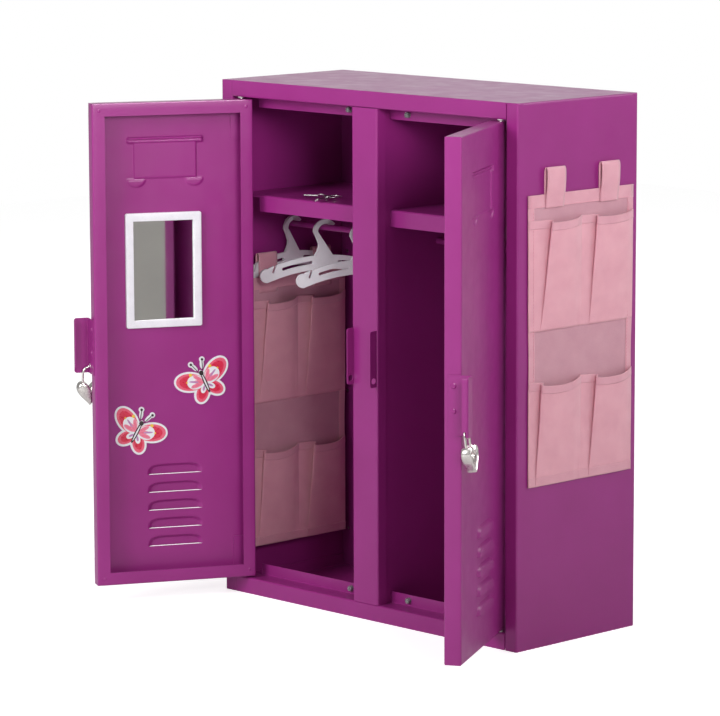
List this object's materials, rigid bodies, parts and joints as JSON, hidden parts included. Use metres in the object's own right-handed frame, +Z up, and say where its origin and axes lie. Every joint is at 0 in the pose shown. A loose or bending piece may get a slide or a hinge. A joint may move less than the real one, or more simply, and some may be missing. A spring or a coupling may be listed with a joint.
{
  "type": "locker cabinet",
  "caption": "Two-door sheet-metal locker with shelves, hanging rods, hasps, padlocks, hangers and hanging pocket organizers",
  "frame": {"origin": "centre of the cabinet's base, on the ground", "axes": "+Z up, the doors face -Y, +X to the right as seen from the front; both doors stand open as modelled"},
  "size_m": [0.5323, 0.3059, 0.508],
  "materials": {
    "purple paint": "satin",
    "bright steel": "brushed",
    "chrome": "polished",
    "white plastic": "satin",
    "white nylon": "matte",
    "clear rubber": "gloss",
    "mirror": "polished",
    "pink cloth": "matte",
    "printed magnet": "satin",
    "magnet": "matte"
  },
  "bodies": {
    "cabinet": {"shell": "purple paint", "back_panel": "purple paint", "floor_pan": "purple paint", "top_rail": "purple paint", "bottom_rail": "purple paint", "centre_post": "purple paint", "divider": "purple paint", "shelf_left": "purple paint", "shelf_right": "purple paint", "rod_left": "purple paint", "rod_right": "purple paint", "strike_plates": "purple paint", "door_bumpers": "clear rubber", "back_rivets": "bright steel", "pivot_bushes": "white nylon", "organizer_outside": "pink cloth", "outside_pockets_upper": "pink cloth", "outside_pockets_lower": "pink cloth", "strap_magnets": "magnet"},
    "left_door": {"door_left": "purple paint", "hinge_brackets_left": "purple paint", "pivot_pins_left": "bright steel", "hasp_left": "purple paint", "hasp_rivets_left": "purple paint", "mirror_frame": "white plastic", "mirror_glass": "mirror", "butterfly_red": "printed magnet", "butterfly_pink": "printed magnet"},
    "right_door": {"door_right": "purple paint", "hinge_brackets_right": "purple paint", "pivot_pins_right": "bright steel", "hasp_right": "purple paint", "hasp_rivets_right": "purple paint"},
    "left_shackle": {"shackle_left": "chrome"},
    "left_padlock": {"lock_case_left": "chrome", "key_plug_left": "bright steel"},
    "right_shackle": {"shackle_right": "chrome"},
    "right_padlock": {"lock_case_right": "chrome", "key_plug_right": "bright steel"},
    "wall_hanger": {"hanger_wall": "white plastic", "organizer_inside": "pink cloth", "inside_pockets_upper": "pink cloth", "inside_pockets_lower": "pink cloth"},
    "middle_hanger": {"hanger_middle": "white plastic"},
    "inner_hanger": {"hanger_inner": "white plastic"},
    "key_bunch": {"key_ring": "bright steel", "keys": "bright steel"}
  },
  "joints": [
    {"name": "left_door_hinge", "type": "hinge", "parent": "cabinet", "child": "left_door", "pos_m": [-0.1745, -0.078, 0.254], "axis": [0, 0, -1], "range_deg": [-117.2, 12.8]},
    {"name": "right_door_hinge", "type": "hinge", "parent": "cabinet", "child": "right_door", "pos_m": [0.1745, -0.078, 0.254], "axis": [0, 0, 1], "range_deg": [-119.5, 10.5]},
    {"name": "left_padlock_shift", "type": "slide", "parent": "left_door", "child": "left_shackle", "axis": [0.4051, 0.7882, 0.4632], "range_m": [-0.0006, 0.005]},
    {"name": "right_padlock_shift", "type": "slide", "parent": "right_door", "child": "right_shackle", "axis": [-0.4364, 0.7713, 0.4632], "range_m": [-0.0006, 0.005]},
    {"name": "left_padlock_opening", "type": "slide", "parent": "left_shackle", "child": "left_padlock", "axis": [-0.1084, 0.0557, -0.9925], "range_m": [0, 0.004]},
    {"name": "right_padlock_opening", "type": "slide", "parent": "right_shackle", "child": "right_padlock", "axis": [0.1061, 0.06, -0.9925], "range_m": [0, 0.004]},
    {"name": "wall_hanger_slide", "type": "slide", "parent": "cabinet", "child": "wall_hanger", "axis": [1, 0, 0], "range_m": [-0.004, 0.006]},
    {"name": "middle_hanger_slide", "type": "slide", "parent": "cabinet", "child": "middle_hanger", "axis": [1, 0, 0], "range_m": [-0.006, 0.012]},
    {"name": "inner_hanger_slide", "type": "slide", "parent": "cabinet", "child": "inner_hanger", "axis": [1, 0, 0], "range_m": [-0.02, 0.04]},
    {"name": "key_bunch_lift", "type": "slide", "parent": "cabinet", "child": "key_bunch", "axis": [0, 0, 1], "range_m": [0, 0.04]}
  ],
  "couplings": [
    {"joint": "left_padlock_shift", "follows": "left_door_hinge", "m_per_rad": -0.002427},
    {"joint": "right_padlock_shift", "follows": "right_door_hinge", "m_per_rad": -0.0023805}
  ]
}
